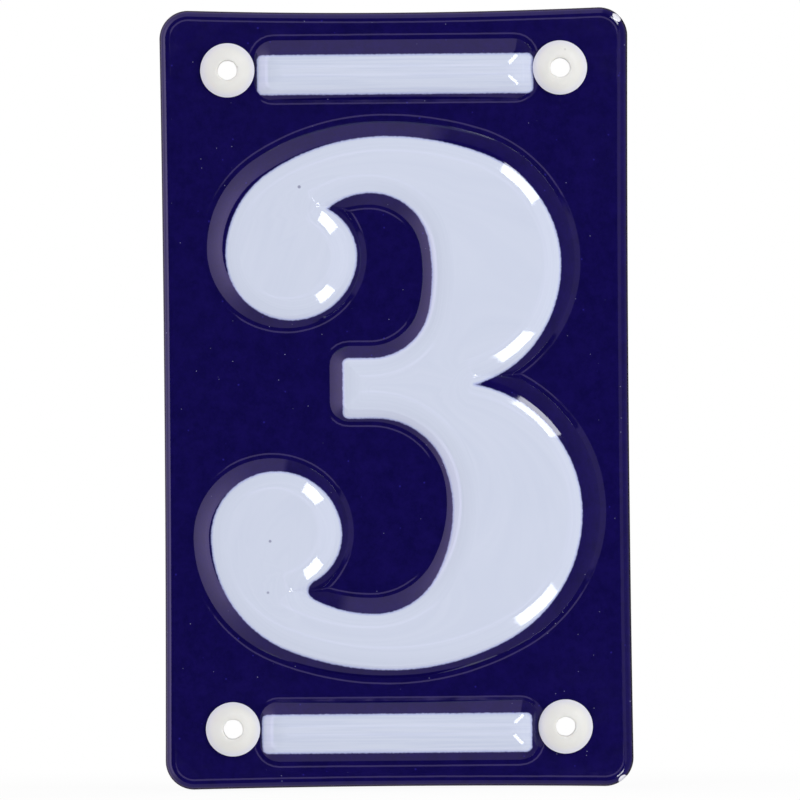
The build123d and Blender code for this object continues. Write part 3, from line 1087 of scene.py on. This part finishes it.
def bush_tree(material):
    """Geometry tree that turns one bush: each stretch of its half section is swept round the bore,
    merged with the next, made slightly uneven about the bore and set in place."""
    tree = bpy.data.node_groups.new("turned_bush", "GeometryNodeTree")
    sizes = ("Bore", "Shank", "Head", "Seat", "Edge", "Crown", "Lip", "Unevenness", "Seed")
    for label in sizes:
        tree.interface.new_socket(label, in_out="INPUT", socket_type="NodeSocketFloat")
    tree.interface.new_socket("Place", in_out="INPUT", socket_type="NodeSocketVector")
    tree.interface.new_socket("Geometry", in_out="OUTPUT", socket_type="NodeSocketGeometry")
    given = tree.nodes.new("NodeGroupInput")
    put = tree.nodes.new("NodeGroupOutput")
    size = {label: given.outputs[label] for label in sizes}

    def spot(radius, depth):
        """A corner of the section, measured out from the bore and forward from the wall."""
        outward = maths(tree, "SUBTRACT", radius, size["Bore"])
        return node(tree, "ShaderNodeCombineXYZ", outward, maths(tree, "MULTIPLY", depth, -1.0)).outputs[0]

    edge = maths(tree, "ADD", size["Seat"], size["Edge"])
    crown = maths(tree, "ADD", size["Seat"], size["Crown"])
    lip_radius = maths(tree, "ADD", size["Bore"], size["Lip"])
    soft = maths(tree, "MULTIPLY", size["Lip"], 0.5)

    # the dome is level at the lip and passes through the head's edge
    run = maths(tree, "SUBTRACT", size["Head"], lip_radius)
    fall = maths(tree, "SUBTRACT", size["Crown"], size["Edge"])
    squares = maths(tree, "MULTIPLY_ADD", run, run, maths(tree, "MULTIPLY", fall, fall))
    dome = maths(tree, "DIVIDE", squares, maths(tree, "MULTIPLY", fall, 2.0))
    half_run = maths(tree, "MULTIPLY", run, 0.5)
    dome_squared = maths(tree, "MULTIPLY", dome, dome)
    run_squared = maths(tree, "MULTIPLY", half_run, half_run)
    dome_rise = maths(tree, "SQRT", maths(tree, "SUBTRACT", dome_squared, run_squared))
    dome_depth = maths(tree, "ADD", maths(tree, "SUBTRACT", crown, dome), dome_rise)
    dome_middle = spot(maths(tree, "ADD", lip_radius, half_run), dome_depth)

    # the lip is a quarter round
    round_share = 1 - sqrt(0.5)
    lip_middle = spot(
        maths(tree, "MULTIPLY_ADD", size["Lip"], round_share, size["Bore"]),
        maths(tree, "MULTIPLY_ADD", size["Lip"], -round_share, crown),
    )
    lip_top = spot(lip_radius, crown)
    lip_foot = spot(size["Bore"], maths(tree, "SUBTRACT", crown, size["Lip"]))

    corners = [
        lip_foot,
        spot(size["Bore"], 0.0),
        spot(size["Shank"], 0.0),
        spot(size["Shank"], size["Seat"]),
        spot(maths(tree, "SUBTRACT", size["Head"], soft), size["Seat"]),
        spot(size["Head"], maths(tree, "ADD", size["Seat"], soft)),
        spot(size["Head"], edge),
    ]
    stretches = [
        node(tree, "GeometryNodeCurvePrimitiveLine", Start=start, End=end).outputs["Curve"]
        for start, end in zip(corners, corners[1:])
    ]
    rounds = (
        (corners[-1], dome_middle, lip_top, dome_points),
        (lip_top, lip_middle, lip_foot, lip_points),
    )
    for start, middle, end, points in rounds:
        arc = node(
            tree, "GeometryNodeCurveArc", settings={"mode": "POINTS"},
            Start=start, Middle=middle, End=end, Resolution=points,
        )
        stretches.append(arc.outputs["Curve"])
    section = tree.nodes.new("GeometryNodeJoinGeometry")
    for stretch in reversed(stretches):
        tree.links.new(stretch, section.inputs[0])

    path = node(tree, "GeometryNodeCurvePrimitiveCircle", Resolution=bush_points, Radius=size["Bore"])
    swept = node(
        tree, "GeometryNodeCurveToMesh", Curve=path.outputs["Curve"], Profile_Curve=section.outputs[0]
    )
    merged = node(tree, "GeometryNodeMergeByDistance", Geometry=swept.outputs["Mesh"], Distance=1e-6)

    # the bore is not quite round: the points near it move in or out along their own radius
    place = tree.nodes.new("GeometryNodeInputPosition").outputs[0]
    outward = vector_maths(tree, "MULTIPLY", place, (1, 1, 0))
    radius = vector_maths(tree, "LENGTH", outward)
    direction = vector_maths(tree, "NORMALIZE", outward)
    spread = node(tree, "ShaderNodeMapRange", radius, size["Bore"], size["Shank"], 1.0, 0.0).outputs[0]
    drift = node(
        tree, "ShaderNodeTexNoise", settings={"noise_dimensions": "4D"},
        Vector=direction, W=size["Seed"], Scale=1.6, Detail=1.0,
    )
    drift = maths(tree, "SUBTRACT", drift.outputs["Fac"], 0.5)
    amount = maths(tree, "MULTIPLY", maths(tree, "MULTIPLY", drift, spread), size["Unevenness"])
    shift = vector_maths(tree, "SCALE", direction, Scale=amount)
    uneven = node(tree, "GeometryNodeSetPosition", Geometry=merged.outputs[0], Offset=shift)

    # mark that grows towards the head's edge, for the painted sheen there
    sheen_inner = maths(tree, "MULTIPLY", size["Head"], sheen_start)
    sheen_outer = maths(tree, "MULTIPLY", size["Head"], sheen_full)
    marked = node(
        tree, "GeometryNodeStoreNamedAttribute", settings={"data_type": "FLOAT", "domain": "POINT"},
        Geometry=uneven.outputs[0], Name="head_sheen", Value=fade(tree, radius, sheen_inner, sheen_outer),
    )

    placed = node(
        tree, "GeometryNodeTransform", Geometry=marked.outputs[0],
        Translation=given.outputs["Place"], Rotation=(pi / 2, 0, 0),
    )
    angle = tree.nodes.new("GeometryNodeInputMeshEdgeAngle").outputs["Unsigned Angle"]
    gentle = node(tree, "FunctionNodeCompare", angle, bush_crease, settings={"operation": "LESS_THAN"})
    smooth = node(tree, "GeometryNodeSetShadeSmooth", placed.outputs[0], True, True)
    creased = node(
        tree, "GeometryNodeSetShadeSmooth", smooth.outputs[0], True, gentle.outputs[0],
        settings={"domain": "EDGE"},
    )
    real = node(tree, "GeometryNodeRealizeInstances", creased.outputs[0])
    finished = node(tree, "GeometryNodeSetMaterial", Geometry=real.outputs[0], Material=material)
    tree.links.new(finished.outputs[0], put.inputs[0])
    return tree


def add_piece(name, mesh, material):
    piece = bpy.data.objects.new(name, mesh)
    bpy.context.collection.objects.link(piece)
    if not mesh.materials:
        mesh.materials.append(material)
    return piece


def turn_bush(name, tree, material, centre, seed):
    """One bush from the geometry tree, as a plain mesh in its place."""
    blank = add_piece(name, bpy.data.meshes.new(name), material)
    modifier = blank.modifiers.new("turned", "NODES")
    modifier.node_group = tree
    values = {
        "Bore": bush_bore * MM,
        "Shank": bush_shank * MM,
        "Head": bush_head * MM,
        "Seat": rim_depth * MM,
        "Edge": bush_edge * MM,
        "Crown": bush_crown * MM,
        "Lip": bush_lip * MM,
        "Unevenness": bore_unevenness * MM,
        "Seed": float(seed),
        "Place": (centre[0] * MM, 0.0, centre[1] * MM),
    }
    for item in tree.interface.items_tree:
        if item.in_out == "INPUT":
            modifier[item.identifier] = values[item.name]
    bpy.context.view_layer.update()
    turned = bpy.data.meshes.new_from_object(blank.evaluated_get(bpy.context.evaluated_depsgraph_get()))
    blank.modifiers.remove(modifier)
    blank.data = turned
    shell = bmesh.new()
    shell.from_mesh(turned)
    bmesh.ops.recalc_face_normals(shell, faces=shell.faces)
    shell.to_mesh(turned)
    shell.free()
    turned.name = name
    return blank


def glow_material(name, shade):
    """Light of one colour, as strong as the mesh's own glow mark says."""
    material = bpy.data.materials.new(name)
    material.use_nodes = True
    tree = material.node_tree
    tree.nodes.remove(tree.nodes["Principled BSDF"])
    glow = node(tree, "ShaderNodeEmission", Color=shade, Strength=mark(tree, "glow"))
    tree.links.new(glow.outputs[0], tree.nodes["Material Output"].inputs["Surface"])
    return material


def toward(azimuth, off_axis):
    """Unit direction from the plaque: off_axis away from straight out of its face, azimuth anticlockwise
    from the right as seen from the front."""
    swing = sin(radians(off_axis))
    return Vector((swing * cos(radians(azimuth)), -cos(radians(off_axis)), swing * sin(radians(azimuth))))


def glowing_patch(name, columns, shade, distance):
    """A patch of the wide sphere, which only glossy surfaces see: each column of it is an azimuth with
    its angles off the axis and the glow at each of them."""
    corners = []
    glow = []
    for azimuth, off_axes, glows in columns:
        corners += [tuple(toward(azimuth, off_axis) * distance) for off_axis in off_axes]
        glow += list(glows)
    rows = len(columns[0][1])
    faces = []
    for column in range(len(columns) - 1):
        for row in range(rows - 1):
            first = column * rows + row
            faces.append((first, first + 1, first + rows + 1, first + rows))
    mesh = bpy.data.meshes.new(name)
    mesh.from_pydata(corners, [], faces)
    mesh.attributes.new("glow", "FLOAT", "POINT").data.foreach_set("value", np.array(glow, np.float32))
    card = add_piece(name, mesh, glow_material(name, shade))
    card.visible_camera = False
    card.visible_diffuse = False
    card.visible_shadow = False


def reflector(name, azimuths, off_axes, shade, glow):
    """An evenly glowing patch between two azimuths and two angles off the axis."""
    rows = np.linspace(*off_axes, reflector_rows)
    glows = np.full(reflector_rows, glow)
    columns = [(azimuth, rows, glows) for azimuth in np.linspace(*azimuths, reflector_columns)]
    glowing_patch(name, columns, shade, reflector_distance)


def ring_of_light():
    """The ring that the slopes mirror, brightest on the left."""
    stops = np.array(ring_stops, float)
    columns = []
    for azimuth in np.linspace(0, 360, ring_columns):
        near, bright, dim = [np.interp(azimuth, stops[:, 0], stops[:, part]) for part in (1, 2, 3)]
        rows = np.linspace(near, ring_fade[1], ring_rows)
        glow = np.interp(rows, (ring_bright_limit, ring_dim_limit), (bright, dim))
        fall = np.clip((ring_fade[1] - rows) / (ring_fade[1] - ring_fade[0]), 0, 1) ** ring_fade_power
        columns.append((azimuth, rows, glow * fall))
    glowing_patch("ring_of_light", columns, lavender, ring_distance)


def area_lamp(name, azimuth, off_axis, size, watts):
    """A soft lamp for the matt part of the light, not seen in reflections."""
    lamp = bpy.data.lights.new(name, "AREA")
    lamp.shape = "SQUARE"
    lamp.size = size
    lamp.energy = watts
    holder = bpy.data.objects.new(name, lamp)
    bpy.context.collection.objects.link(holder)
    holder.location = toward(azimuth, off_axis) * lamp_distance
    holder.rotation_euler = (-toward(azimuth, off_axis)).to_track_quat("-Z", "Y").to_euler()
    holder.visible_camera = False
    holder.visible_glossy = False


def light_world():
    """White behind the plaque for the camera and in reflections, dim everywhere else."""
    world = bpy.data.worlds.new("studio")
    bpy.context.scene.world = world
    world.use_nodes = True
    tree = world.node_tree
    rays = node(tree, "ShaderNodeLightPath")
    way = node(tree, "ShaderNodeSeparateXYZ", node(tree, "ShaderNodeTexCoord").outputs["Generated"])
    behind = fade(tree, way.outputs["Y"], *backdrop_edge)
    glossy = maths(tree, "MULTIPLY", rays.outputs["Is Glossy Ray"], behind)
    seen = maths(tree, "MAXIMUM", rays.outputs["Is Camera Ray"], rays.outputs["Is Transmission Ray"])
    seen = maths(tree, "MAXIMUM", seen, glossy)
    dim = maths(tree, "MULTIPLY_ADD", rays.outputs["Is Glossy Ray"], glossy_ambient - ambient, ambient)
    level = node(tree, "ShaderNodeMapRange", seen, 0.0, 1.0, dim, 1.0).outputs[0]
    background = tree.nodes["Background"]
    background.inputs["Color"].default_value = (1, 1, 1, 1)
    tree.links.new(level, background.inputs["Strength"])


def lay_floor():
    """Pale floor at the plaque's lower edge, near white to the camera and still showing the shadow."""
    mesh = bpy.data.meshes.new("floor")
    level = cad_low.z
    reach = floor_reach
    mesh.from_pydata(
        [(-reach, -reach, level), (reach, -reach, level), (reach, reach, level), (-reach, reach, level)],
        [],
        [(0, 1, 2, 3)],
    )
    material, tree, shader = new_material("pale_floor")
    shader.inputs["Base Color"].default_value = floor_grey
    shader.inputs["Roughness"].default_value = 0.9
    shader.inputs["Specular IOR Level"].default_value = 0.0
    glow = node(tree, "ShaderNodeEmission", Color=(1, 1, 1, 1), Strength=1.0)
    rays = node(tree, "ShaderNodeLightPath")
    place = node(tree, "ShaderNodeTexCoord").outputs["Object"]
    away = vector_maths(tree, "LENGTH", place)
    white = node(tree, "ShaderNodeMapRange", away, -cad_low.z, floor_shadow_reach, floor_white, 1.0)
    share = maths(tree, "MULTIPLY", rays.outputs["Is Camera Ray"], white.outputs[0])
    mixed = node(tree, "ShaderNodeMixShader", share, shader.outputs[0], glow.outputs[0])
    tree.links.new(mixed.outputs[0], tree.nodes["Material Output"].inputs["Surface"])
    floor = add_piece("floor", mesh, material)
    floor.visible_glossy = False
    floor.visible_diffuse = False


def aim_camera():
    """Square on to the plaque through a long lens, with the photograph's slight turn."""
    camera = bpy.data.cameras.new("camera")
    camera.lens = lens
    camera.sensor_width = sensor
    holder = bpy.data.objects.new("camera", camera)
    bpy.context.collection.objects.link(holder)
    distance = field * lens / sensor
    upright = Matrix.Rotation(pi / 2, 4, "X") @ Matrix.Rotation(camera_roll, 4, "Z")
    holder.matrix_world = Matrix.Translation(Vector((aim_x, -distance, aim_z)) * MM) @ upright
    bpy.context.scene.camera = holder


speck_tree = speck_group()
enamel = enamel_material(speck_tree)
plate = add_piece("enamelled_plate", press_plate(), enamel)
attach(plate, "root")
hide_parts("plate")

nylon = nylon_material(speck_tree)
turned_bush = bush_tree(nylon)
for seed, (corner_name, centre) in enumerate(screws.items()):
    bush = turn_bush(f"nylon_bush_{corner_name}", turned_bush, nylon, centre, seed)
    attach(bush, "root")
    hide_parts(f"screw_bush_{corner_name}")

light_world()
lay_floor()
ring_of_light()
for name, first_azimuth, last_azimuth, near, far, shade, glow in reflectors:
    reflector(name, (first_azimuth, last_azimuth), (near, far), shade, glow)
for name, azimuth, off_axis, size, watts in lamps:
    area_lamp(name, azimuth, off_axis, size, watts)
aim_camera()
bpy.context.scene.view_settings.view_transform = "Standard"
